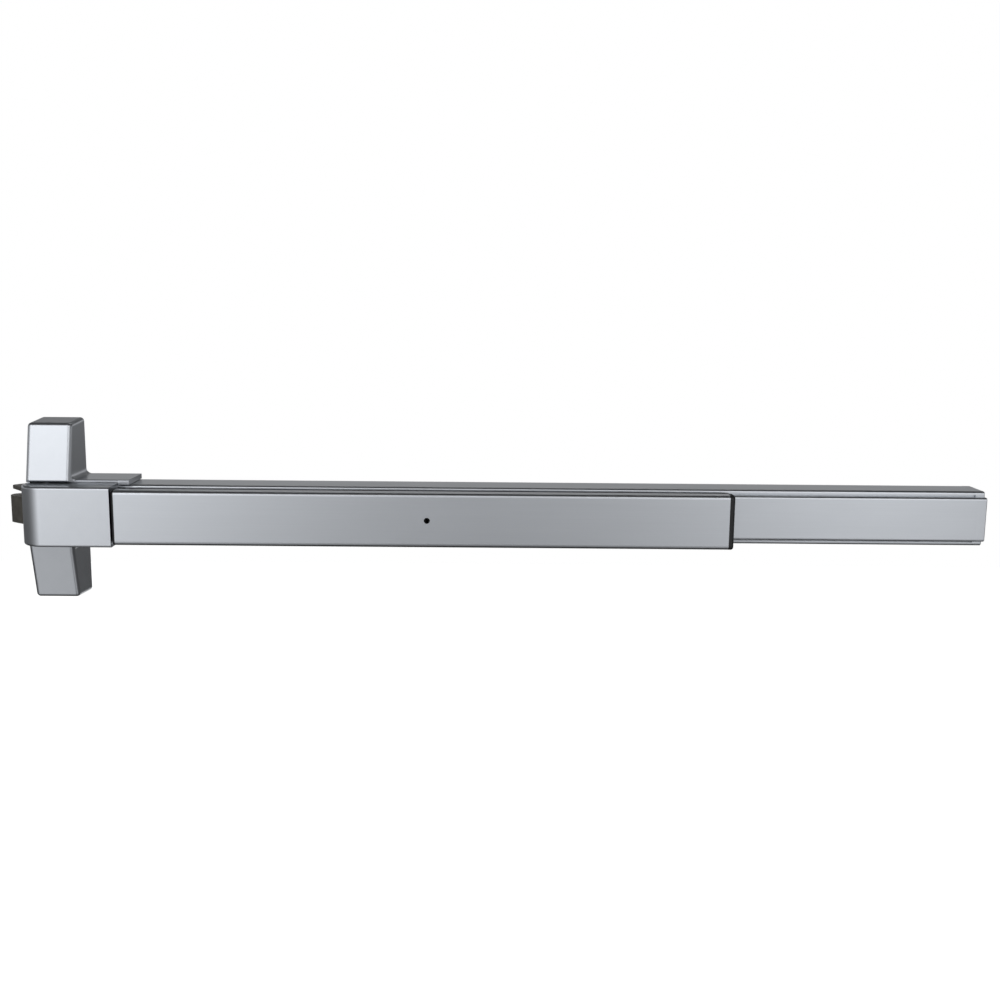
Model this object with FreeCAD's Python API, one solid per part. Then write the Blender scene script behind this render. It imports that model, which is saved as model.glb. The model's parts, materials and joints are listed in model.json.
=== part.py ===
"""Rim-type touch-bar exit device, as an assembly of separate pieces, in millimetres.

Frame: the origin lies on the door's face, at the centre of the head's four mounting holes.
+X runs along the bar to the hinge side, +Y goes into the door, +Z is up.
"depth" is how far a point stands off the door into the room, so y = -depth.
"""
import FreeCAD
import Part
import math
import os

Vector = FreeCAD.Vector
X_AXIS = Vector(1, 0, 0)
Y_AXIS = Vector(0, 1, 0)
Z_AXIS = Vector(0, 0, 1)
SIDES = (1, -1)

# Head: back case with two towers and a sleeve, and the nose cover in front of it
CASE_LEFT = -20.0
TOWER_RIGHT = 19.4
SLEEVE_RIGHT = 69.4
SLEEVE_DEPTH = 39.95
SLEEVE_HALF = 29.3
COLLAR_START = 62.0
COLLAR_HALF = 24.9
TOWER_TOP_BACK = 80.4
TOWER_TOP_FRONT = 78.3
TOWER_TIP_DEPTH = 33.2
TOWER_ROOT_DEPTH = 45.2
TOWER_ROOT = 27.4
MOUTH_HALF = 28.6
ROOT_BEVEL = 2.3
CAST_WALL = 2.5
TOWER_EDGE_R = 3.6
NOSE_EDGE_R = 2.2
NOSE_LEFT = -21.8
NOSE_RIGHT = 59.3
NOSE_DEPTH = 66.1
NOSE_HALF = 26.35
NOSE_CORNER = 21.0
NOSE_BACK = 40.25
LATCH_WINDOW_DEPTH = 46.4

# Base plate and mounting holes
PLATE = 2.5
MOUNT_HOLE_X = 11.0
MOUNT_HOLE_Z = 62.0
MOUNT_HOLE_R = 3.3

# Latch bolt and deadlatch, which turn on one upright pin
LATCH_X = -9.0
LATCH_DEPTH = 13.0
LATCH_PIN_R = 3.0
RUNNING_FIT = 0.05
BOLT_HALF = 12.2
BLADE_Z = (18.3, 21.5)
LATCH_SWING = math.radians(62.0)

# Housing channel
HOUSING_LEFT = 40.0
HOUSING_RIGHT = 819.8
HOUSING_BACK = 2.5
HOUSING_FRONT = 35.85
HOUSING_HALF = 24.5
HOUSING_WALL = 2.0
LIP_INNER = 21.5
LIP_EDGE_R = 2.4
FLOOR = HOUSING_BACK + HOUSING_WALL

# Push pad
PAD_LEFT = 63.2
PAD_RIGHT = 594.9
PAD_DEPTH = 67.2
PAD_HALF = 24.05
PAD_SKIRT_DEPTH = 56.0
PAD_SKIN = 2.2
PAD_SKIRT = 1.8
GUIDE_OUTER = 20.3
GUIDE_INNER = 18.7
GUIDE_DEPTH = 27.0
PAD_EDGE_R = 3.6
PAD_CAP_LEFT = 2.4
PAD_CAP_RIGHT = 4.5
PAD_CAP_EDGE_R = 2.0
PAD_TRAVEL = 9.5
KEY_HOLE_R = 2.6

# Bell cranks: the lift pin carries the pad, the drive pin pulls the rod
CRANK_X = {"left": 150.0, "right": 520.0}
CRANK_DEPTH = 32.8
LIFT_ARM = 26.0
DRIVE_ARM = 20.0
PIVOT_R = 3.0
LIFT_PIN_R = 2.0
DRIVE_PIN_R = 1.9
CRANK_SWING = PAD_TRAVEL / LIFT_ARM
HALF_SWING = CRANK_SWING / 2

# Actuating rod
ROD_DEPTH = 13.0
ROD_HALF_WIDTH = 6.0
ROD_HALF = 1.5
ROD_RIGHT = 545.0
ROD_TRAVEL = DRIVE_ARM * CRANK_SWING
TAIL_PIN_R = 1.5
TAIL_ARM = ROD_TRAVEL / (2 * math.sin(LATCH_SWING / 2))

# Return spring on the rod
SPRING_LEFT = 205.0
SPRING_RIGHT = 262.0
SPRING_R = 7.3
SPRING_WIRE = 0.8
SPRING_TURNS = 9.6

# Hold-open, turned with a hex key through the push pad
DOG_X = 333.0
HOOK_DEPTH = (21.0, 23.6)
HOOK_HUB_R = 6.5
HOOK_THROAT = 10.25
HOOK_REACH = 13.95
TOOTH = (340.1, 342.5)

# End cover, end bracket and cap at the hinge end
COVER_LEFT = 600.0
COVER_DEPTH = 42.3
COVER_HALF = 19.8
COVER_EDGE_R = 2.2
DEVICE_RIGHT = 828.0
END_CAP_WALL = 2.0
END_HOLE_X = 806.0
END_HOLE_Z = 12.5

RIVET_R = 1.5


def block(x, depth, z):
    """Box between two x, two depths and two heights."""
    size = (x[1] - x[0], depth[1] - depth[0], z[1] - z[0])
    return Part.makeBox(*size, Vector(x[0], -depth[1], z[0]))


def plan(points, z):
    """Plate with an outline drawn from above, as (x, depth) points."""
    corners = [Vector(x, -depth, z[0]) for x, depth in points]
    return Part.Face(Part.makePolygon(corners + corners[:1])).extrude(Vector(0, 0, z[1] - z[0]))


def section(points, x):
    """Extrusion along the bar with an end outline of (z, depth) points."""
    corners = [Vector(x[0], -depth, z) for z, depth in points]
    return Part.Face(Part.makePolygon(corners + corners[:1])).extrude(Vector(x[1] - x[0], 0, 0))


def upright(x, depth, z, r):
    """Round bar along Z."""
    return Part.makeCylinder(r, z[1] - z[0], Vector(x, -depth, z[0]), Z_AXIS)


def inward(x, z, depth, r):
    """Round bar along Y, from the outer depth to the inner one."""
    return Part.makeCylinder(r, depth[1] - depth[0], Vector(x, -depth[1], z), Y_AXIS)


def link(a, b, r_a, r_b, z):
    """Flat arm with round ends about two (x, depth) points and straight tangent sides."""
    dx, dd = b[0] - a[0], b[1] - a[1]
    lean = math.acos((r_a - r_b) / math.hypot(dx, dd))
    along = math.atan2(dd, dx)
    ends = []
    for (x, depth), r, sides in ((a, r_a, (1, -1)), (b, r_b, (-1, 1))):
        for side in sides:
            angle = along + side * lean
            ends.append((x + r * math.cos(angle), depth + r * math.sin(angle)))
    return fuse(plan(ends, z), upright(*a, z, r_a), upright(*b, z, r_b))


def fuse(first, *others):
    return first.multiFuse(list(others)).removeSplitter()


def cut(shape, *tools):
    for tool in tools:
        shape = shape.cut(tool)
    return shape.removeSplitter()


def rounded(shape, radius, wanted):
    """Fillet the edges whose middle point and chord direction satisfy wanted(point, direction)."""
    edges = []
    for edge in shape.Edges:
        first, last = edge.ParameterRange
        chord = edge.valueAt(last) - edge.valueAt(first)
        if chord.Length > 0:
            chord.normalize()
        if wanted(edge.valueAt((first + last) / 2), chord):
            edges.append(edge)
    return shape.makeFillet(radius, edges)


def near(value, target):
    return abs(value - target) < 0.05


def coil(start, axis, length, turns, r, wire):
    """Coil spring of round wire that starts at a point and runs along an axis."""
    pitch = length / turns
    path = Part.Wire(Part.makeHelix(pitch, length, r).Edges)
    ring = Part.Wire(Part.makeCircle(wire, Vector(r, 0, 0), Vector(0, 2 * math.pi * r, pitch)))
    spring = path.makePipeShell([ring], True, True)
    turn = FreeCAD.Rotation(Z_AXIS, axis)
    spring.Placement = FreeCAD.Placement(start, turn).multiply(spring.Placement)
    return spring


# ---------------------------------------------------------------- head castings

def tower_outline(inset):
    """Side outline of a tower as (z, depth) points, moved inward for the cavity."""
    slope = (TOWER_ROOT_DEPTH - TOWER_TIP_DEPTH) / (TOWER_TOP_FRONT - TOWER_ROOT)
    drop = inset * math.hypot(1, slope)
    return [(TOWER_ROOT, 0), (TOWER_TOP_BACK - inset, 0),
            (TOWER_TOP_FRONT - inset, TOWER_TIP_DEPTH - drop + inset * slope),
            (TOWER_ROOT, TOWER_ROOT_DEPTH - drop)]


def tower(side):
    body = section([(side * z, depth) for z, depth in tower_outline(0)], (CASE_LEFT, TOWER_RIGHT))
    return rounded(body, TOWER_EDGE_R, lambda p, t: abs(p.z) > TOWER_ROOT + 1 and p.y < -1)


def case_cover():
    sleeve = block((CASE_LEFT, SLEEVE_RIGHT), (0, SLEEVE_DEPTH), (-SLEEVE_HALF, SLEEVE_HALF))
    sleeve = rounded(sleeve, 1.2, lambda p, t: near(p.y, -SLEEVE_DEPTH) and abs(t.x) > 0.9)
    body = fuse(sleeve, *[tower(side) for side in SIDES])
    body = rounded(body, 5.0, lambda p, t: near(p.x, TOWER_RIGHT) and near(abs(p.z), SLEEVE_HALF)
                   and abs(t.y) > 0.9 and p.y > -SLEEVE_DEPTH)
    hollow = block((CASE_LEFT + CAST_WALL, COLLAR_START), (-1, SLEEVE_DEPTH - CAST_WALL),
                   (-SLEEVE_HALF + 3, SLEEVE_HALF - 3))
    mouth = fuse(block((CASE_LEFT + CAST_WALL, TOWER_RIGHT + 2), (SLEEVE_DEPTH - CAST_WALL - 1, 60),
                       (-TOWER_ROOT, TOWER_ROOT)),
                 block((TOWER_RIGHT + 2, NOSE_RIGHT + 0.4), (SLEEVE_DEPTH - CAST_WALL - 1, 60),
                       (-MOUTH_HALF, MOUTH_HALF)))
    collar = block((NOSE_RIGHT, SLEEVE_RIGHT + 1), (-1, 60), (-COLLAR_HALF, COLLAR_HALF))
    body = cut(body, hollow, mouth, collar)
    inside = (CASE_LEFT + CAST_WALL, TOWER_RIGHT - CAST_WALL)
    for side in SIDES:
        outline = [(side * z, depth) for z, depth in tower_outline(CAST_WALL)]
        outline[0] = (0, 0)
        outline[3:] = [(side * TOWER_ROOT, outline[3][1]), (0, SLEEVE_DEPTH - CAST_WALL)]
        body = cut(body, section(outline, inside))
        body = cut(body, Part.makeCylinder(1.7, 6, Vector(CASE_LEFT - 1, -12, side * 45), X_AXIS))
    windows = latch_windows(CASE_LEFT - 1, CASE_LEFT + CAST_WALL + 1, 4, SLEEVE_DEPTH + 1)
    return cut(body, *windows, *[root_bevel(side) for side in SIDES])


def root_bevel(side):
    """Wedge that takes the sharp edge off a tower's foot, above the nose cover."""
    low, high, out = TOWER_ROOT - 0.1, TOWER_ROOT + 2, TOWER_ROOT_DEPTH + 1
    outline = [(low, TOWER_ROOT_DEPTH - ROOT_BEVEL), (high, TOWER_ROOT_DEPTH), (high, out), (low, out)]
    return section([(side * z, depth) for z, depth in outline], (CASE_LEFT - 1, TOWER_RIGHT + 1))


def latch_windows(left, right, near_depth, far_depth):
    """Openings in the latch side for the bolt and for the deadlatch blade."""
    blade = (BLADE_Z[0] - 0.8, BLADE_Z[1] + 0.8)
    bolt = (-BOLT_HALF - 0.8, BOLT_HALF + 0.8)
    return [block((left, right), (near_depth, far_depth), z) for z in (bolt, blade)]


def nose_cover():
    body = block((NOSE_LEFT, NOSE_RIGHT), (NOSE_BACK, NOSE_DEPTH), (-NOSE_HALF, NOSE_HALF))
    body = rounded(body, NOSE_CORNER,
                   lambda p, t: near(p.x, NOSE_LEFT) and near(p.y, -NOSE_DEPTH) and abs(t.z) > 0.9)
    body = rounded(body, NOSE_EDGE_R, lambda p, t: near(abs(p.z), NOSE_HALF) and p.y < -NOSE_BACK - 0.1
                   and not near(p.x, NOSE_RIGHT))
    hollow = block((NOSE_LEFT + CAST_WALL, NOSE_RIGHT - CAST_WALL), (NOSE_BACK - 1, NOSE_DEPTH - CAST_WALL),
                   (-NOSE_HALF + CAST_WALL, NOSE_HALF - CAST_WALL))
    hollow = rounded(hollow, NOSE_CORNER - CAST_WALL,
                     lambda p, t: near(p.x, NOSE_LEFT + CAST_WALL)
                     and near(p.y, -NOSE_DEPTH + CAST_WALL) and abs(t.z) > 0.9)
    body = cut(body, hollow)
    for side in SIDES:
        lug = sorted((side * (NOSE_HALF - 2.4), side * (NOSE_HALF - 0.4)))
        body = fuse(body, block((-8, HOUSING_LEFT - 2), (33, NOSE_BACK + 3), lug))
    return cut(body, *latch_windows(NOSE_LEFT - 1, NOSE_LEFT + 9, NOSE_BACK - 1, LATCH_WINDOW_DEPTH))


# ---------------------------------------------------------------- base plate and latch

def chassis():
    reach = (CASE_LEFT + CAST_WALL + 0.7, TOWER_RIGHT - CAST_WALL - 0.7)
    body = fuse(block((reach[0], SLEEVE_RIGHT - 3.4), (0, PLATE), (-COLLAR_HALF + 0.5, COLLAR_HALF - 0.5)),
                block(reach, (0, PLATE), (-TOWER_TOP_FRONT + 3.4, TOWER_TOP_FRONT - 3.4)))
    for side in SIDES:
        tab = sorted((side * 39, side * 51))
        body = fuse(body, block((reach[0], reach[0] + 1.8), (PLATE, 18), tab))
        body = cut(body, Part.makeCylinder(1.5, 6, Vector(reach[0] - 1, -12, side * 45), X_AXIS))
        body = cut(body, inward(HOUSING_LEFT + 12, side * 12, (-1, PLATE + 1), 2.0))
        for x in SIDES:
            body = cut(body, inward(x * MOUNT_HOLE_X, side * MOUNT_HOLE_Z, (-1, PLATE + 1), MOUNT_HOLE_R))
            body = cut(body, inward(x * 9, side * 18, (-1, PLATE + 1), RIVET_R))
    return body


def latch_bracket():
    body = block((-14, 14), (PLATE, PLATE + 2), (-24.9, 24.9))
    for side in SIDES:
        ear = sorted((side * 22.9, side * 24.9))
        body = fuse(body, block((-14, 8), (PLATE, 24), ear))
        for x in SIDES:
            body = cut(body, inward(x * 9, side * 18, (PLATE - 1, PLATE + 3), RIVET_R))
    return cut(body, upright(LATCH_X, LATCH_DEPTH, (-30, 30), LATCH_PIN_R))


def latch_pin():
    shaft = upright(LATCH_X, LATCH_DEPTH, (-26.1, 25.8), LATCH_PIN_R)
    return fuse(shaft, upright(LATCH_X, LATCH_DEPTH, (24.9, 26.1), LATCH_PIN_R + 1.5))


def latch_spacer():
    tube = upright(LATCH_X, LATCH_DEPTH, (-22.8, -BOLT_HALF - 0.3), LATCH_PIN_R + 1.2)
    return cut(tube, upright(LATCH_X, LATCH_DEPTH, (-30, 0), LATCH_PIN_R))


def latch_spring():
    return coil(Vector(LATCH_X, -LATCH_DEPTH, -21.6), Z_AXIS, 7.6, 5, 5.2, 0.6)


def deadlatch_spring():
    return coil(Vector(LATCH_X, -LATCH_DEPTH, 13.4), Z_AXIS, 4.1, 2.6, 4.4, 0.45)


def latch_bolt():
    """Wedge with a forked root. The slanted front face rides over the strike."""
    z = (-BOLT_HALF, BOLT_HALF)
    outline = [(LATCH_X, LATCH_DEPTH - 7.4), (-24, 8), (-38.5, 12.4), (-41.4, 14.8), (-42.3, 18),
               (-42.1, 22), (-38.0, 25.8), (-20, 38.6), (-13, 36), (-3, 17)]
    body = fuse(plan(outline, z), upright(LATCH_X, LATCH_DEPTH, z, 7.5))
    fork = upright(LATCH_X, LATCH_DEPTH, (-ROD_HALF - 0.7, ROD_HALF + 0.7), 24)
    fork = fork.common(block((-60, 40), (LATCH_DEPTH + 0.3, 60), (-5, 5)))
    tail = tail_pin_place()
    return cut(body, fork, upright(LATCH_X, LATCH_DEPTH, (-20, 20), LATCH_PIN_R + RUNNING_FIT),
               upright(*tail, (-9, 9), TAIL_PIN_R))


def tail_pin_place():
    return (LATCH_X - TAIL_ARM * math.sin(LATCH_SWING / 2),
            LATCH_DEPTH + TAIL_ARM * math.cos(LATCH_SWING / 2))


def latch_tail_pin():
    return upright(*tail_pin_place(), (-9, 9), TAIL_PIN_R)


def deadlatch():
    outline = [(LATCH_X, LATCH_DEPTH - 6.9), (-22, 9.5), (-34, 15.5), (-38.7, 21), (-39, 23.8),
               (-26, 38.6), (-21, 39.4), (-13, 35), (-3, 16)]
    body = fuse(plan(outline, BLADE_Z), upright(LATCH_X, LATCH_DEPTH, BLADE_Z, 7.0))
    return cut(body, upright(LATCH_X, LATCH_DEPTH, (0, 30), LATCH_PIN_R + RUNNING_FIT))


# ---------------------------------------------------------------- channel and push pad

def housing():
    half, lip = HOUSING_HALF, LIP_INNER
    inner = half - HOUSING_WALL
    outline = [(-half, HOUSING_BACK), (half, HOUSING_BACK), (half, HOUSING_FRONT), (lip, HOUSING_FRONT),
               (lip, HOUSING_FRONT - HOUSING_WALL), (inner, HOUSING_FRONT - HOUSING_WALL), (inner, FLOOR),
               (-inner, FLOOR), (-inner, HOUSING_FRONT - HOUSING_WALL), (-lip, HOUSING_FRONT - HOUSING_WALL),
               (-lip, HOUSING_FRONT), (-half, HOUSING_FRONT)]
    body = section(outline, (HOUSING_LEFT, HOUSING_RIGHT))
    body = rounded(body, 0.6, lambda p, t: near(abs(p.z), half) and near(p.y, -HOUSING_BACK))
    body = rounded(body, LIP_EDGE_R, lambda p, t: near(abs(p.z), half) and near(p.y, -HOUSING_FRONT)
                   and abs(t.x) > 0.9)
    for x, z in rivet_places():
        body = cut(body, inward(x, z, (HOUSING_BACK - 1, FLOOR + 1), RIVET_R))
    for side in SIDES:
        body = cut(body, inward(HOUSING_LEFT + 12, side * 12, (HOUSING_BACK - 1, FLOOR + 1), 2.0),
                   inward(END_HOLE_X, side * END_HOLE_Z, (HOUSING_BACK - 1, FLOOR + 1), MOUNT_HOLE_R))
    return body


def push_pad():
    x = (PAD_LEFT, PAD_RIGHT)
    shell = block(x, (PAD_SKIRT_DEPTH, PAD_DEPTH), (-PAD_HALF, PAD_HALF))
    shell = rounded(shell, PAD_EDGE_R, lambda p, t: near(p.y, -PAD_DEPTH) and abs(t.x) > 0.9)
    shell = cut(shell, block(x, (PAD_SKIRT_DEPTH, PAD_DEPTH - PAD_SKIN),
                             (-PAD_HALF + PAD_SKIRT, PAD_HALF - PAD_SKIRT)))
    for side in SIDES:
        guide = sorted((side * GUIDE_INNER, side * GUIDE_OUTER))
        shell = fuse(shell, block(x, (GUIDE_DEPTH, PAD_DEPTH - PAD_SKIN), guide))
    return cut(shell, inward(DOG_X, 0, (PAD_DEPTH - 10, PAD_DEPTH + 1), KEY_HOLE_R))


def pad_cap(left, right, plug):
    """Flat end, notched for the rod, with a hollow plug that fits between the pad's inner guides."""
    body = block((left, right), (PAD_SKIRT_DEPTH, PAD_DEPTH), (-PAD_HALF, PAD_HALF))
    body = rounded(body, PAD_EDGE_R, lambda p, t: near(p.y, -PAD_DEPTH) and abs(t.x) > 0.9)
    outer = left if right == PAD_LEFT else right
    body = rounded(body, PAD_CAP_EDGE_R, lambda p, t: near(p.x, outer) and near(p.y, -PAD_DEPTH))
    body = fuse(body, block((left, right), (GUIDE_DEPTH, PAD_SKIRT_DEPTH), (-GUIDE_OUTER, GUIDE_OUTER)))
    wedge, skin = GUIDE_INNER - 0.2, 1.6
    body = fuse(body, block(plug, (50, PAD_DEPTH - PAD_SKIN - 0.2), (-wedge, wedge)))
    return cut(body, block((left - 1, right + 1), (0, 32), (-9, 9)),
               block(plug, (50 + skin, PAD_DEPTH - PAD_SKIN - 0.2 - skin), (-wedge + skin, wedge - skin)))


def lift_pin_place(name):
    return (CRANK_X[name] - LIFT_ARM * math.cos(HALF_SWING), CRANK_DEPTH + LIFT_ARM * math.sin(HALF_SWING))


def drive_pin_place(name):
    return (CRANK_X[name] - DRIVE_ARM * math.sin(HALF_SWING), CRANK_DEPTH - DRIVE_ARM * math.cos(HALF_SWING))


def pad_bracket(name):
    """Channel under the pad's face whose two legs hold the crank's lift pin in short slots."""
    x, depth = lift_pin_place(name)
    face = PAD_DEPTH - PAD_SKIN
    body = block((x - 14, x + 8), (face - 2, face), (-GUIDE_INNER, GUIDE_INNER))
    for side in SIDES:
        leg = sorted((side * 12, side * 14))
        body = fuse(body, plan([(x - 12, face), (x + 8, face), (x + 6, depth - 5), (x - 6, depth - 5)], leg))
    slot = LIFT_PIN_R + 0.3
    run = 0.9
    tools = [upright(x + end * run, depth, (-20, 20), slot) for end in SIDES]
    return cut(body, *tools, block((x - run, x + run), (depth - slot, depth + slot), (-20, 20)))


def crank(name):
    """Bell crank: two cheeks on a hub, one arm to the lift pin and one to the drive pin."""
    pivot = (CRANK_X[name], CRANK_DEPTH)
    lift, drive = lift_pin_place(name), drive_pin_place(name)
    body = upright(*pivot, (-8.7, 8.7), 5.2)
    for side in SIDES:
        cheek = sorted((side * 2.0, side * 4.5))
        body = fuse(body, link(pivot, lift, 6.5, 4.2, cheek), link(pivot, drive, 6.5, 4.2, cheek))
    return cut(body, upright(*pivot, (-20, 20), PIVOT_R + RUNNING_FIT),
               upright(*lift, (-20, 20), LIFT_PIN_R), upright(*drive, (-20, 20), DRIVE_PIN_R))


def crank_pins(name):
    return Part.makeCompound([upright(*lift_pin_place(name), (-15.4, 15.4), LIFT_PIN_R),
                              upright(*drive_pin_place(name), (-5.4, 5.4), DRIVE_PIN_R)])


def crank_bracket(name):
    x = CRANK_X[name]
    body = block((x - 18, x + 18), (FLOOR, FLOOR + 2), (-11, 11))
    for side in SIDES:
        ear = sorted((side * 9, side * 11))
        outline = [(x - 9, FLOOR), (x + 9, FLOOR), (x + 6.4, CRANK_DEPTH), (x - 6.4, CRANK_DEPTH)]
        body = fuse(body, plan(outline, ear), upright(x, CRANK_DEPTH, ear, 6.4))
    body = cut(body, upright(x, CRANK_DEPTH, (-20, 20), PIVOT_R))
    for hole_x, z in crank_rivets(x):
        body = cut(body, inward(hole_x, z, (FLOOR - 1, FLOOR + 3), RIVET_R))
    return body


def crank_pivot(name):
    return upright(CRANK_X[name], CRANK_DEPTH, (-12.8, 12.8), PIVOT_R)


def pivot_clips():
    """Retaining rings at both ends of the two crank pivots."""
    clips = []
    for x in CRANK_X.values():
        for side in SIDES:
            z = sorted((side * 11, side * 11.8))
            clips.append(cut(upright(x, CRANK_DEPTH, z, 5.4), upright(x, CRANK_DEPTH, z, PIVOT_R)))
    return Part.makeCompound(clips)


# ---------------------------------------------------------------- rod and return spring

def actuating_rod():
    """Flat bar with a hook for the latch's tail pin, slots for the cranks and a hold-open tooth."""
    tail_x, tail_depth = tail_pin_place()
    low, high = ROD_DEPTH - ROD_HALF_WIDTH, ROD_DEPTH + ROD_HALF_WIDTH
    palm = LATCH_DEPTH + TAIL_ARM + TAIL_PIN_R + 0.4
    finger = tail_x - TAIL_PIN_R - 0.25
    outline = [(-16.9, tail_depth - 2.1), (finger, tail_depth - 2.1), (finger, palm), (5, palm), (13, low),
               (ROD_RIGHT, low), (ROD_RIGHT, high), (TOOTH[1], high), (TOOTH[1], high + 4.2),
               (TOOTH[0], high + 4.2), (TOOTH[0], high), (17, high), (12, palm + 5), (-16.9, palm + 5)]
    body = plan(outline, (-ROD_HALF, ROD_HALF))
    for name in CRANK_X:
        x, depth = drive_pin_place(name)[0], ROD_DEPTH
        body = cut(body, block((x - 2.2, x + 2.2), (depth - 2.5, depth + 2.5), (-5, 5)))
    return body


def spring_collar():
    disc = Part.makeCylinder(SPRING_R + SPRING_WIRE, 2, Vector(SPRING_LEFT - 2.0, -ROD_DEPTH, 0), X_AXIS)
    return cut(disc, block((SPRING_LEFT - 5, SPRING_LEFT + 5),
                           (ROD_DEPTH - ROD_HALF_WIDTH, ROD_DEPTH + ROD_HALF_WIDTH), (-ROD_HALF, ROD_HALF)))


def rod_guide():
    """Angle on the channel floor: the rod slides through its web, which also stops the spring."""
    foot = block((SPRING_RIGHT, SPRING_RIGHT + 18), (FLOOR, FLOOR + 2), (-9, 9))
    web = block((SPRING_RIGHT, SPRING_RIGHT + 2), (FLOOR, 22), (-9, 9))
    body = cut(fuse(foot, web), block((SPRING_RIGHT - 1, SPRING_RIGHT + 3), (6.6, 19.4), (-1.9, 1.9)))
    for x, z in guide_rivets():
        body = cut(body, inward(x, z, (FLOOR - 1, FLOOR + 3), RIVET_R))
    return body


def return_spring():
    gap = SPRING_WIRE + 0.05
    return coil(Vector(SPRING_LEFT + gap, -ROD_DEPTH, 0), X_AXIS, SPRING_RIGHT - SPRING_LEFT - 2 * gap,
                SPRING_TURNS, SPRING_R, SPRING_WIRE)


# ---------------------------------------------------------------- hold-open

def dogging_bracket():
    half = 18.2
    x = (DOG_X - 15, DOG_X + 19)
    body = block(x, (24.0, 26.5), (-half, half))
    for side in SIDES:
        leg = sorted((side * (half - 2), side * half))
        foot = sorted((side * (half - 2), side * 22.2))
        body = fuse(body, block(x, (FLOOR, 26.5), leg), block(x, (FLOOR, FLOOR + 2), foot))
    for hole_x, z in dogging_rivets():
        body = cut(body, inward(hole_x, z, (FLOOR - 1, FLOOR + 3), RIVET_R))
    return cut(body, inward(DOG_X, 0, (20, 30), 3.0 + RUNNING_FIT))


def dogging_screw():
    """Shank and round head with a 4 mm hex socket that opens to the room."""
    body = fuse(inward(DOG_X, 0, (20.8, 28), 3.0), inward(DOG_X, 0, (26.8, 32), 5.0))
    corners = [(DOG_X + 2.3 * math.cos(math.radians(60 * i)), 2.3 * math.sin(math.radians(60 * i)))
               for i in range(6)]
    points = [Vector(x, -33, z) for x, z in corners]
    socket = Part.Face(Part.makePolygon(points + points[:1])).extrude(Vector(0, 4, 0))
    return cut(body, socket)


def dogging_hook():
    """Hook that stands up at rest. A quarter turn brings its throat over the rod's tooth."""
    body = fuse(inward(DOG_X, 0, HOOK_DEPTH, HOOK_HUB_R),
                block((DOG_X - 5.5, DOG_X - 2), HOOK_DEPTH, (0, HOOK_REACH)),
                block((DOG_X - 5.5, DOG_X + 2.5), HOOK_DEPTH, (HOOK_THROAT, HOOK_REACH)))
    return cut(body, inward(DOG_X, 0, (0, 40), 3.0))


# ---------------------------------------------------------------- hinge end

def end_cover():
    """Hat section: the brim sits behind the channel's lips."""
    wall, brim = 1.8, (31.6, 33.5)
    x = (COVER_LEFT, HOUSING_RIGHT)
    body = block(x, (brim[0], COVER_DEPTH), (-COVER_HALF, COVER_HALF))
    body = rounded(body, COVER_EDGE_R, lambda p, t: near(p.y, -COVER_DEPTH) and abs(t.x) > 0.9)
    body = fuse(body, block(x, brim, (-22.2, 22.2)))
    return cut(body, block((x[0] - 1, x[1] + 1), (0, COVER_DEPTH - wall), (-COVER_HALF + wall, COVER_HALF - wall)))


def end_bracket():
    """U-bracket inside the channel that backs the end cover's brim."""
    x = (776, 815)
    body = block(x, (FLOOR, FLOOR + 2), (-22.3, 22.3))
    for side in SIDES:
        leg = sorted((side * 20.3, side * 22.3))
        body = fuse(body, block(x, (FLOOR, 31.2), leg))
        body = cut(body, inward(END_HOLE_X, side * END_HOLE_Z, (FLOOR - 1, FLOOR + 3), MOUNT_HOLE_R),
                   inward(784, side * END_HOLE_Z, (FLOOR - 1, FLOOR + 3), RIVET_R))
    return body


def end_spacer():
    body = block((774, HOUSING_RIGHT - 2), (0, HOUSING_BACK), (-23.5, 23.5))
    for side in SIDES:
        body = cut(body, inward(END_HOLE_X, side * END_HOLE_Z, (-1, HOUSING_BACK + 1), MOUNT_HOLE_R))
    return body


def channel_end_cap():
    """Hollow casting with the outline of channel and cover, held by two prongs in the channel."""
    x, inside = (HOUSING_RIGHT, DEVICE_RIGHT), (HOUSING_RIGHT - 1, DEVICE_RIGHT - END_CAP_WALL)
    body = block(x, (HOUSING_BACK, HOUSING_FRONT), (-HOUSING_HALF, HOUSING_HALF))
    body = rounded(body, LIP_EDGE_R, lambda p, t: near(p.y, -HOUSING_FRONT) and abs(t.x) > 0.9)
    ridge = block(x, (HOUSING_BACK, COVER_DEPTH), (-COVER_HALF, COVER_HALF))
    body = fuse(body, rounded(ridge, COVER_EDGE_R, lambda p, t: near(p.y, -COVER_DEPTH) and abs(t.x) > 0.9))
    body = rounded(body, 0.8, lambda p, t: near(p.x, DEVICE_RIGHT))
    half, cover_half = HOUSING_HALF - END_CAP_WALL, COVER_HALF - END_CAP_WALL
    body = cut(body, block(inside, (FLOOR, HOUSING_FRONT - END_CAP_WALL), (-half, half)),
               block(inside, (FLOOR, COVER_DEPTH - END_CAP_WALL), (-cover_half, cover_half)))
    for side in SIDES:
        prong = sorted((side * 17.4, side * 20.0))
        body = fuse(body, block((HOUSING_RIGHT - 10, inside[1] + 0.2), (10, 26), prong))
    return body


# ---------------------------------------------------------------- fasteners

def crank_rivets(x):
    return [(x + side * 14, z * 6) for side in SIDES for z in SIDES]


def guide_rivets():
    return [(SPRING_RIGHT + 11, side * 5.6) for side in SIDES]


def dogging_rivets():
    return [(x, side * 20.2) for x in (DOG_X - 10, DOG_X + 14) for side in SIDES]


def rivet_places():
    cranks = [place for x in CRANK_X.values() for place in crank_rivets(x)]
    return cranks + guide_rivets() + dogging_rivets() + [(784, side * END_HOLE_Z) for side in SIDES]


def rivet(x, z, back, seat, head):
    return fuse(inward(x, z, (back, seat + 0.5), RIVET_R), inward(x, z, (seat, seat + 1.2), head))


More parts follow.
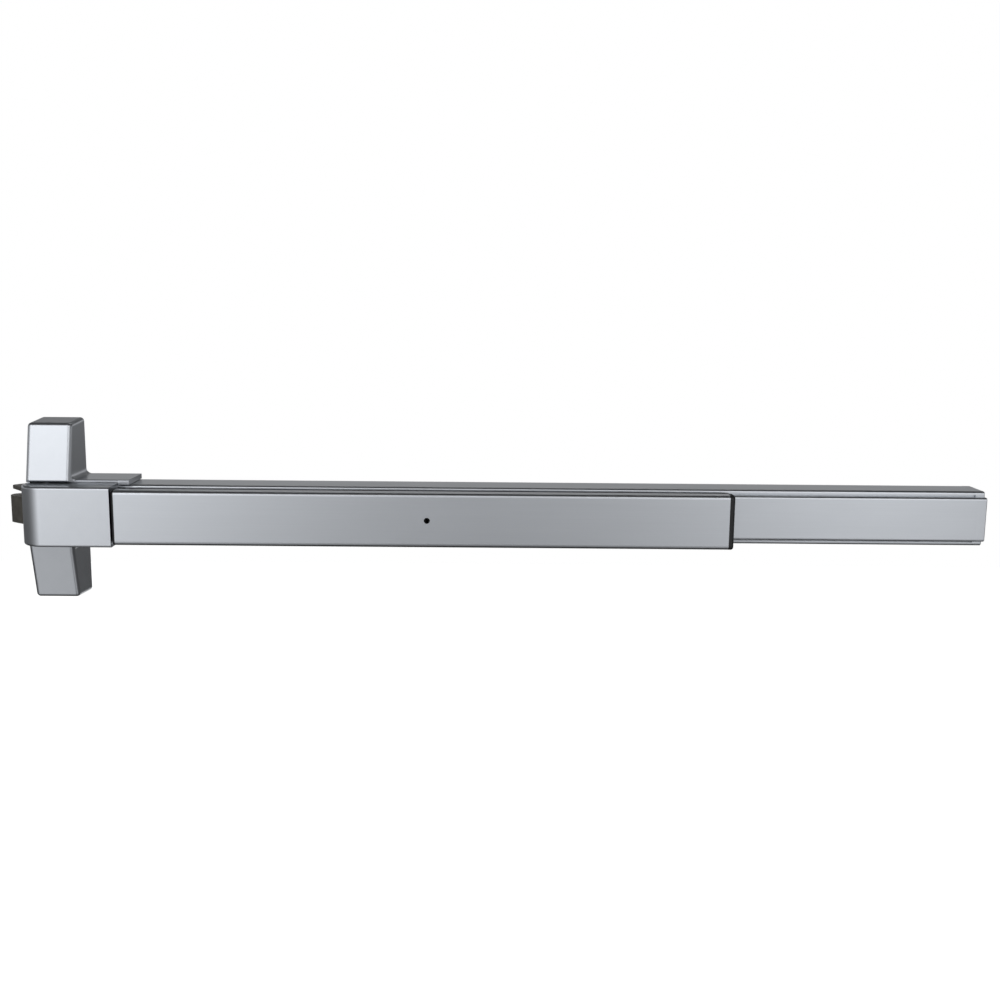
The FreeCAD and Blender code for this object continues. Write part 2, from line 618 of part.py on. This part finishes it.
def channel_rivets():
    return Part.makeCompound([rivet(x, z, HOUSING_BACK, FLOOR + 2, 1.9) for x, z in rivet_places()])


def latch_bracket_rivets():
    return Part.makeCompound([rivet(x * 9, z * 18, 0, PLATE + 2, 2.8) for x in SIDES for z in SIDES])


def housing_screws():
    """Pan-head screws from inside the channel into the base plate's tongue."""
    screws = []
    for side in SIDES:
        x, z = HOUSING_LEFT + 12, side * 12
        head = inward(x, z, (FLOOR, FLOOR + 2.6), 4.0)
        head = rounded(head, 0.8, lambda p, t: near(p.y, -FLOOR - 2.6))
        slot = block((x - 5, x + 5), (FLOOR + 1.6, FLOOR + 3), (z - 0.5, z + 0.5))
        screws.append(cut(fuse(head, inward(x, z, (0, FLOOR + 0.5), 2.0)), slot))
    return Part.makeCompound(screws)


def cover_screws():
    """Button-head screws through the latch side of the towers into the base plate's tabs."""
    screws = []
    for side in SIDES:
        seat = Vector(CASE_LEFT, -12, side * 45)
        head = Part.makeCylinder(3.0, 1.4, seat - X_AXIS * 1.4, X_AXIS)
        head = rounded(head, 0.7, lambda p, t: near(p.x, CASE_LEFT - 1.4))
        shank = Part.makeCylinder(1.5, 7, seat - X_AXIS * 0.2, X_AXIS)
        slot = block((CASE_LEFT - 2, CASE_LEFT - 0.7), (8, 16), sorted((side * 45 - 0.4, side * 45 + 0.4)))
        screws.append(cut(fuse(head, shank), slot))
    return Part.makeCompound(screws)


def nodes():
    pieces = {f.__name__: f for f in (
        chassis, case_cover, nose_cover, latch_bracket, latch_pin, latch_spacer, latch_spring,
        deadlatch_spring, latch_bolt, latch_tail_pin, deadlatch, housing, push_pad, pivot_clips,
        actuating_rod, spring_collar, rod_guide, return_spring, dogging_bracket, dogging_screw,
        dogging_hook, end_cover, end_bracket, end_spacer, channel_end_cap, channel_rivets,
        latch_bracket_rivets, housing_screws, cover_screws)}
    made = {name: make() for name, make in pieces.items()}
    made["pad_cap_left"] = pad_cap(PAD_LEFT - PAD_CAP_LEFT, PAD_LEFT, (PAD_LEFT, PAD_LEFT + 8))
    made["pad_cap_right"] = pad_cap(PAD_RIGHT, PAD_RIGHT + PAD_CAP_RIGHT, (PAD_RIGHT - 8, PAD_RIGHT))
    for name in CRANK_X:
        for make in (pad_bracket, crank, crank_pins, crank_bracket, crank_pivot):
            made[make.__name__ + "_" + name] = make(name)
    return made


os.makedirs("parts", exist_ok=True)
for node, shape in nodes().items():
    if not shape.isValid():
        raise ValueError(node + " is not a valid shape")
    shape.exportStep("parts/" + node + ".step")
    print(node, len(shape.Solids), round(sum(s.Volume for s in shape.Solids), 1))
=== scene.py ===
import json
import math

import bpy
from mathutils import Matrix, Vector

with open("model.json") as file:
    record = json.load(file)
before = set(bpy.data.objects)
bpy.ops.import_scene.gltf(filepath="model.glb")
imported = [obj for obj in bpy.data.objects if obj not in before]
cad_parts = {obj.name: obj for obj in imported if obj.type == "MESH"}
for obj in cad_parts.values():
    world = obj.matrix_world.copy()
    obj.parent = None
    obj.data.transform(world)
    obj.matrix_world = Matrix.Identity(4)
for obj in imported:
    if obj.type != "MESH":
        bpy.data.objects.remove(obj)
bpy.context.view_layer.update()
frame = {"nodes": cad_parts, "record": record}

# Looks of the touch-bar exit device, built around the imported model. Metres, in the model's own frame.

MM = 0.001

# Camera: where it stands, how far it looks down, and how far it is turned and tilted.
CAMERA_PLACE = Vector((0.3815, -1.0753, 0.1878))
CAMERA_DOWN = math.radians(9.68)
CAMERA_YAW = math.radians(0.46)
CAMERA_ROLL = math.radians(0.55)
LENS = 42.73
SENSOR = 36.0
SHIFT = (0.0075, 0.0033)
NEAR = 0.02

# Floor: its height, half its side, and how much of its whiteness is its own light.
FLOOR = -1.4
FLOOR_HALF = 6.0
FLOOR_GLOW = 0.9

# Soft lights: name, place, size and watts. All of them face the middle of the bar.
MIDDLE = (0.4, 0, 0)
LIGHTS = (
    ("front_strip", (0.4, -0.62, 0.42), (1.5, 0.22), 0.7),
    ("back_box", (0.4, 1.3, 1.6), (1.6, 0.8), 3),
    ("low_back_box", (0.4, 1.5, -1.1), (1.6, 0.8), 3),
)

# The studio that the metal mirrors, as (direction, brightness) stops. SCREENS runs from the left, -1, to the
# right, 1. HEIGHTS and WALL run from straight down, -1, to straight up, 1. FRONT runs from the front, -1, to
# the back, 1: it is 1 where the screens stand and falls to 0 where the wall is.
SCREENS = ((-1.0, 0.15), (-0.85, 0.32), (-0.62, 0.8), (-0.37, 1.7), (-0.23, 0.9), (-0.03, 0.42), (0.12, 0.6),
           (0.2, 0.66), (0.3, 1.75), (0.44, 0.65), (0.8, 0.2), (1.0, 0.15))
HEIGHTS = ((-1.0, 0.1), (-0.62, 0.64), (-0.36, 0.5), (-0.17, 1.0), (0.0, 1.45), (0.3, 1.25), (0.52, 1.5),
           (0.66, 0.2), (1.0, 0.04))
WALL = ((-1.0, 0.04), (-0.25, 0.08), (0.0, 0.28), (0.14, 0.74), (0.29, 0.1), (0.7, 0.08), (1.0, 0.04))
FRONT = ((-1.0, 1.0), (-0.6, 1.0), (-0.1, 0.0), (1.0, 0.0))
BRIGHTEST = 2.0


# ---------------------------------------------------------------- small helpers

def linear(hex_colour):
    """sRGB hex such as "C0C4C8" to the linear colour that a socket takes."""
    parts = [int(hex_colour[i:i + 2], 16) / 255 for i in (0, 2, 4)]
    return [c / 12.92 if c <= 0.04045 else ((c + 0.055) / 1.055) ** 2.4 for c in parts] + [1.0]


def stops_of(*stops):
    """Colour stops from (position, hex) pairs."""
    return [(position, linear(colour)) for position, colour in stops]


def per_mm(x, y, z):
    """Mapping scale that makes one cell of a pattern x by y by z millimetres."""
    return [1 / (side * MM) for side in (x, y, z)]


def fill(tree, node, inputs):
    """Set a node's inputs: a socket is linked, anything else is a fixed value."""
    for name, value in inputs.items():
        if isinstance(value, bpy.types.NodeSocket):
            tree.links.new(value, node.inputs[name])
        else:
            node.inputs[name].default_value = value


def add(tree, kind, inputs=(), stops=(), **settings):
    """One node with its settings, its inputs and links, and its colour stops if it has any."""
    node = tree.nodes.new(kind)
    for name, value in settings.items():
        setattr(node, name, value)
    fill(tree, node, dict(inputs))
    for index, (position, colour) in enumerate(stops):
        points = node.color_ramp.elements
        point = points[index] if index < len(points) else points.new(position)
        point.position = position
        point.color = colour
    return node


def finish_of(name):
    """A new material: itself, its tree, its shader, and the position on the object."""
    material = bpy.data.materials.new(name)
    material.use_nodes = True
    tree = material.node_tree
    return material, tree, tree.nodes["Principled BSDF"], add(tree, "ShaderNodeTexCoord").outputs["Object"]


# ---------------------------------------------------------------- materials
# Each pattern is a texture on cells of a size in millimetres. Each bump's depth is in millimetres times MM.

def silver_painted_zinc():
    """Die-cast zinc sprayed with satin silver paint: flakes give a fine, cloudy sparkle and
    the spray a faint orange peel, so reflections are broad and soft."""
    material, tree, shader, where = finish_of("silver_painted_zinc")
    # Real flakes are about 0.05 mm across, too fine to show, so they are drawn at 0.45 mm.
    cell = add(tree, "ShaderNodeMapping", {"Vector": where, "Scale": per_mm(0.45, 0.45, 0.45)}).outputs[0]
    flakes = add(tree, "ShaderNodeTexVoronoi", {"Vector": cell, "Scale": 1.0}).outputs["Distance"]
    cell = add(tree, "ShaderNodeMapping", {"Vector": where, "Scale": per_mm(14, 14, 14)}).outputs[0]
    cloud = add(tree, "ShaderNodeTexNoise", {"Vector": cell, "Scale": 1.0, "Detail": 3.0}).outputs["Fac"]
    cell = add(tree, "ShaderNodeMapping", {"Vector": where, "Scale": per_mm(1.6, 1.6, 1.6)}).outputs[0]
    peel = add(tree, "ShaderNodeTexNoise", {"Vector": cell, "Scale": 1.0, "Detail": 1.0}).outputs["Fac"]
    tone = add(tree, "ShaderNodeMix", {"Factor": 0.25, "A": cloud, "B": flakes}).outputs["Result"]
    fill(tree, shader, {
        "Base Color": add(tree, "ShaderNodeValToRGB", {"Fac": tone},
                          stops_of((0.2, "BABDC1"), (0.8, "C1C4C8"))).outputs["Color"],
        "Metallic": 0.95,
        "Roughness": add(tree, "ShaderNodeMapRange",
                         {"Value": cloud, "To Min": 0.28, "To Max": 0.32}).outputs["Result"],
        "Normal": add(tree, "ShaderNodeBump", {"Height": peel, "Distance": 0.002 * MM}).outputs["Normal"]})
    return material


def silver_aluminium():
    """Extruded aluminium, etched and finished satin silver: the die leaves faint lines along the bar."""
    material, tree, shader, where = finish_of("satin_silver_aluminium")
    # Real die lines are about 0.1 mm apart and etch pits about 0.02 mm wide, too fine to show, so the lines
    # are drawn 0.5 mm apart and the pits 0.3 mm wide.
    cell = add(tree, "ShaderNodeMapping", {"Vector": where, "Scale": per_mm(90, 0.5, 0.5)}).outputs[0]
    lines = add(tree, "ShaderNodeTexNoise", {"Vector": cell, "Scale": 1.0, "Detail": 3.0}).outputs["Fac"]
    cell = add(tree, "ShaderNodeMapping", {"Vector": where, "Scale": per_mm(0.3, 0.3, 0.3)}).outputs[0]
    etch = add(tree, "ShaderNodeTexNoise", {"Vector": cell, "Scale": 1.0, "Detail": 1.0}).outputs["Fac"]
    cell = add(tree, "ShaderNodeMapping", {"Vector": where, "Scale": per_mm(60, 20, 20)}).outputs[0]
    cloud = add(tree, "ShaderNodeTexNoise", {"Vector": cell, "Scale": 1.0, "Detail": 2.0}).outputs["Fac"]
    pitted = add(tree, "ShaderNodeBump", {"Height": etch, "Distance": 0.0015 * MM}).outputs["Normal"]
    fill(tree, shader, {
        "Base Color": add(tree, "ShaderNodeValToRGB", {"Fac": lines},
                          stops_of((0.2, "BABDC1"), (0.8, "BEC1C5"))).outputs["Color"],
        "Metallic": 1.0,
        "Roughness": add(tree, "ShaderNodeMapRange",
                         {"Value": cloud, "To Min": 0.27, "To Max": 0.31}).outputs["Result"],
        "Normal": add(tree, "ShaderNodeBump",
                      {"Height": lines, "Distance": 0.0006 * MM, "Normal": pitted}).outputs["Normal"]})
    return material


def black_nylon():
    """Moulded glass-filled nylon: near black, with a fine spark-eroded grain that keeps it matt."""
    material, tree, shader, where = finish_of("black_nylon")
    # A real spark-eroded grain is about 0.1 mm, too fine to show, so it is drawn at 0.5 mm.
    cell = add(tree, "ShaderNodeMapping", {"Vector": where, "Scale": per_mm(0.5, 0.5, 0.5)}).outputs[0]
    grain = add(tree, "ShaderNodeTexNoise", {"Vector": cell, "Scale": 1.0, "Detail": 2.0}).outputs["Fac"]
    fill(tree, shader, {
        "Base Color": add(tree, "ShaderNodeValToRGB", {"Fac": grain},
                          stops_of((0.3, "050506"), (0.7, "0B0B0D"))).outputs["Color"],
        "Roughness": add(tree, "ShaderNodeMapRange",
                         {"Value": grain, "To Min": 0.5, "To Max": 0.65}).outputs["Result"],
        "IOR": 1.53,
        "Normal": add(tree, "ShaderNodeBump", {"Height": grain, "Distance": 0.02 * MM}).outputs["Normal"]})
    return material


def dark_latch_steel():
    """Sintered steel, tumbled and oiled: dark and brownish, with level slide marks."""
    material, tree, shader, where = finish_of("tumbled_latch_steel")
    # Real pores are about 0.1 mm and slide marks about 0.1 mm apart, too fine to show, so the pores are
    # drawn at 0.6 mm and the marks 0.35 mm apart.
    cell = add(tree, "ShaderNodeMapping", {"Vector": where, "Scale": per_mm(5, 5, 5)}).outputs[0]
    blotch = add(tree, "ShaderNodeTexNoise", {"Vector": cell, "Scale": 1.0, "Detail": 4.0}).outputs["Fac"]
    cell = add(tree, "ShaderNodeMapping", {"Vector": where, "Scale": per_mm(9, 9, 0.35)}).outputs[0]
    marks = add(tree, "ShaderNodeTexNoise", {"Vector": cell, "Scale": 1.0, "Detail": 2.0}).outputs["Fac"]
    cell = add(tree, "ShaderNodeMapping", {"Vector": where, "Scale": per_mm(0.6, 0.6, 0.6)}).outputs[0]
    pores = add(tree, "ShaderNodeTexNoise", {"Vector": cell, "Scale": 1.0, "Detail": 2.0}).outputs["Fac"]
    slid = add(tree, "ShaderNodeBump", {"Height": marks, "Distance": 0.006 * MM}).outputs["Normal"]
    fill(tree, shader, {
        "Base Color": add(tree, "ShaderNodeValToRGB", {"Fac": blotch},
                          stops_of((0.3, "76726C"), (0.7, "8C8880"))).outputs["Color"],
        "Metallic": 1.0,
        "Roughness": add(tree, "ShaderNodeMapRange",
                         {"Value": marks, "To Min": 0.34, "To Max": 0.55}).outputs["Result"],
        "Normal": add(tree, "ShaderNodeBump",
                      {"Height": pores, "Distance": 0.015 * MM, "Normal": slid}).outputs["Normal"]})
    return material


def spring_wire():
    """Drawn spring wire, oil hardened: blue-grey, with a mottled film and a slightly rough skin."""
    material, tree, shader, where = finish_of("oiled_spring_wire")
    cell = add(tree, "ShaderNodeMapping", {"Vector": where, "Scale": per_mm(2.5, 2.5, 2.5)}).outputs[0]
    film = add(tree, "ShaderNodeTexNoise", {"Vector": cell, "Scale": 1.0, "Detail": 3.0}).outputs["Fac"]
    # The real skin's roughness is about 0.05 mm wide, too fine to show, so it is drawn at 0.4 mm.
    cell = add(tree, "ShaderNodeMapping", {"Vector": where, "Scale": per_mm(0.4, 0.4, 0.4)}).outputs[0]
    skin = add(tree, "ShaderNodeTexNoise", {"Vector": cell, "Scale": 1.0, "Detail": 2.0}).outputs["Fac"]
    fill(tree, shader, {
        "Base Color": add(tree, "ShaderNodeValToRGB", {"Fac": film},
                          stops_of((0.3, "7A7E84"), (0.7, "9A9EA3"))).outputs["Color"],
        "Metallic": 1.0,
        "Roughness": add(tree, "ShaderNodeMapRange",
                         {"Value": film, "To Min": 0.25, "To Max": 0.4}).outputs["Result"],
        "Normal": add(tree, "ShaderNodeBump", {"Height": skin, "Distance": 0.003 * MM}).outputs["Normal"]})
    return material


def bright_turned_steel():
    """Turned or headed steel with bright zinc: fine machining lines and a slight yellow-blue film."""
    material, tree, shader, where = finish_of("bright_zinc_steel")
    # Real machining lines are about 0.1 mm apart, too fine to show, so they are drawn 0.25 mm apart,
    # running towards the door.
    cell = add(tree, "ShaderNodeMapping", {"Vector": where, "Scale": per_mm(0.25, 4, 0.25)}).outputs[0]
    lines = add(tree, "ShaderNodeTexNoise", {"Vector": cell, "Scale": 1.0, "Detail": 2.0}).outputs["Fac"]
    cell = add(tree, "ShaderNodeMapping", {"Vector": where, "Scale": per_mm(3, 3, 3)}).outputs[0]
    film = add(tree, "ShaderNodeTexNoise", {"Vector": cell, "Scale": 1.0, "Detail": 3.0}).outputs["Fac"]
    fill(tree, shader, {
        "Base Color": add(tree, "ShaderNodeValToRGB", {"Fac": film},
                          stops_of((0.3, "B9BAB4"), (0.7, "C8CACC"))).outputs["Color"],
        "Metallic": 1.0,
        "Roughness": add(tree, "ShaderNodeMapRange",
                         {"Value": lines, "To Min": 0.22, "To Max": 0.36}).outputs["Result"],
        "Normal": add(tree, "ShaderNodeBump", {"Height": lines, "Distance": 0.004 * MM}).outputs["Normal"]})
    return material


def zinc_plated_sheet():
    """Pressed sheet steel with clear zinc plate: cloudy, with faint rolling lines along the bar."""
    material, tree, shader, where = finish_of("zinc_plated_sheet_steel")
    cell = add(tree, "ShaderNodeMapping", {"Vector": where, "Scale": per_mm(8, 8, 8)}).outputs[0]
    cloud = add(tree, "ShaderNodeTexNoise", {"Vector": cell, "Scale": 1.0, "Detail": 4.0}).outputs["Fac"]
    # Real rolling lines are about 0.1 mm apart, too fine to show, so they are drawn 0.6 mm apart.
    cell = add(tree, "ShaderNodeMapping", {"Vector": where, "Scale": per_mm(40, 0.6, 0.6)}).outputs[0]
    rolled = add(tree, "ShaderNodeTexNoise", {"Vector": cell, "Scale": 1.0, "Detail": 2.0}).outputs["Fac"]
    fill(tree, shader, {
        "Base Color": add(tree, "ShaderNodeValToRGB", {"Fac": cloud},
                          stops_of((0.3, "AEB0AE"), (0.7, "B9BCBC"))).outputs["Color"],
        "Metallic": 1.0,
        "Roughness": add(tree, "ShaderNodeMapRange",
                         {"Value": cloud, "To Min": 0.34, "To Max": 0.42}).outputs["Result"],
        "Normal": add(tree, "ShaderNodeBump", {"Height": rolled, "Distance": 0.003 * MM}).outputs["Normal"]})
    return material


FINISHES = {
    "painted_zinc": silver_painted_zinc(),
    "anodised_aluminium": silver_aluminium(),
    "black_nylon": black_nylon(),
    "latch_steel": dark_latch_steel(),
    "spring_steel": spring_wire(),
    "bright_steel": bright_turned_steel(),
    "zinc_plated_steel": zinc_plated_sheet(),
}


def dress_nodes():
    """Give every carried-over node the finish of its material slot."""
    for part in frame["record"]["subparts"]:
        node = frame["nodes"][part["node"]]
        for socket in node.material_slots:
            socket.material = FINISHES[part["material_slot"]]


# ---------------------------------------------------------------- studio

def set_camera():
    """Camera at its place, from its three axes: right, up and back along the view."""
    forward = Vector((math.sin(CAMERA_YAW) * math.cos(CAMERA_DOWN),
                      math.cos(CAMERA_YAW) * math.cos(CAMERA_DOWN), -math.sin(CAMERA_DOWN)))
    level = Vector((math.cos(CAMERA_YAW), -math.sin(CAMERA_YAW), 0))
    above = level.cross(forward)
    right = level * math.cos(CAMERA_ROLL) + above * math.sin(CAMERA_ROLL)
    up = above * math.cos(CAMERA_ROLL) - level * math.sin(CAMERA_ROLL)
    data = bpy.data.cameras.new("camera")
    data.sensor_width = SENSOR
    data.lens = LENS
    data.shift_x, data.shift_y = SHIFT
    data.clip_start = NEAR
    camera = bpy.data.objects.new("camera", data)
    camera.matrix_world = Matrix.Translation(CAMERA_PLACE) @ Matrix((right, up, -forward)).transposed().to_4x4()
    bpy.context.collection.objects.link(camera)
    bpy.context.scene.camera = camera


def soft_box(name, spot, size, power):
    """Large soft light that faces the middle of the bar."""
    data = bpy.data.lights.new(name, "AREA")
    data.shape = "RECTANGLE"
    data.size, data.size_y = size
    data.energy = power
    lamp = bpy.data.objects.new(name, data)
    aim = Vector(MIDDLE) - Vector(spot)
    lamp.matrix_world = Matrix.Translation(spot) @ aim.to_track_quat("-Z", "Y").to_matrix().to_4x4()
    bpy.context.collection.objects.link(lamp)


def profile(tree, direction, stops):
    """Smooth curve through (direction, brightness) stops. A ramp's colours end at 1, so it holds each
    brightness as a share of the brightest."""
    along = add(tree, "ShaderNodeMapRange", {"Value": direction, "From Min": -1.0, "From Max": 1.0}).outputs[0]
    shares = [((at + 1) / 2, (bright / BRIGHTEST,) * 3 + (1,)) for at, bright in stops]
    curve = add(tree, "ShaderNodeValToRGB", {"Fac": along}, shares)
    curve.color_ramp.interpolation = "EASE"
    return add(tree, "ShaderNodeMath", {0: curve.outputs["Color"], 1: BRIGHTEST},
               operation="MULTIPLY").outputs[0]


def set_surroundings():
    """White around the object for the eye. What the metal mirrors is a studio: bright screens in front,
    to the left and to the right, with a dimmer gap between them, a dark ceiling and a grey wall behind."""
    world = bpy.data.worlds.new("studio")
    world.use_nodes = True
    bpy.context.scene.world = world
    tree = world.node_tree
    tree.nodes.clear()
    way = add(tree, "ShaderNodeSeparateXYZ",
              {"Vector": add(tree, "ShaderNodeTexCoord").outputs["Generated"]}).outputs
    screens = profile(tree, way["X"], SCREENS)
    heights = profile(tree, way["Z"], HEIGHTS)
    wall = profile(tree, way["Z"], WALL)
    front = profile(tree, way["Y"], FRONT)
    lit = add(tree, "ShaderNodeMath", {0: screens, 1: heights}, operation="MULTIPLY").outputs[0]
    room = add(tree, "ShaderNodeMix", {"Factor": front, "A": wall, "B": lit}).outputs["Result"]
    mirrored = add(tree, "ShaderNodeBackground", {"Strength": room, "Color": linear("FCFDFF")})
    seen = add(tree, "ShaderNodeBackground", {"Strength": 1.0, "Color": linear("FFFFFF")})
    eye = add(tree, "ShaderNodeLightPath").outputs["Is Camera Ray"]
    mixed = add(tree, "ShaderNodeMixShader", {0: eye, 1: mirrored.outputs[0], 2: seen.outputs[0]})
    add(tree, "ShaderNodeOutputWorld", {"Surface": mixed.outputs[0]})


def set_floor():
    """Pale floor well below the object: a matt white sheet that gives off light itself, so that it stays
    white. The metal doesn't mirror it and it throws no light on the object."""
    material, tree, shader, where = finish_of("pale_sheet")
    cell = add(tree, "ShaderNodeMapping", {"Vector": where, "Scale": per_mm(3, 3, 3)}).outputs[0]
    fibre = add(tree, "ShaderNodeTexNoise", {"Vector": cell, "Scale": 1.0, "Detail": 3.0}).outputs["Fac"]
    pale = add(tree, "ShaderNodeValToRGB", {"Fac": fibre},
               stops_of((0.3, "FBFBFA"), (0.7, "FFFFFF"))).outputs["Color"]
    fill(tree, shader, {"Base Color": pale, "Roughness": 0.9, "Emission Color": pale,
                        "Emission Strength": FLOOR_GLOW})
    mesh = bpy.data.meshes.new("floor")
    corners = [(x * FLOOR_HALF, y * FLOOR_HALF, FLOOR) for x, y in ((-1, -1), (1, -1), (1, 1), (-1, 1))]
    mesh.from_pydata(corners, [], [(0, 1, 2, 3)])
    mesh.materials.append(material)
    floor = bpy.data.objects.new("floor", mesh)
    floor.visible_glossy = False
    floor.visible_diffuse = False
    bpy.context.collection.objects.link(floor)


dress_nodes()
set_camera()
set_surroundings()
set_floor()
for light in LIGHTS:
    soft_box(*light)
bpy.context.scene.view_settings.view_transform = "Standard"
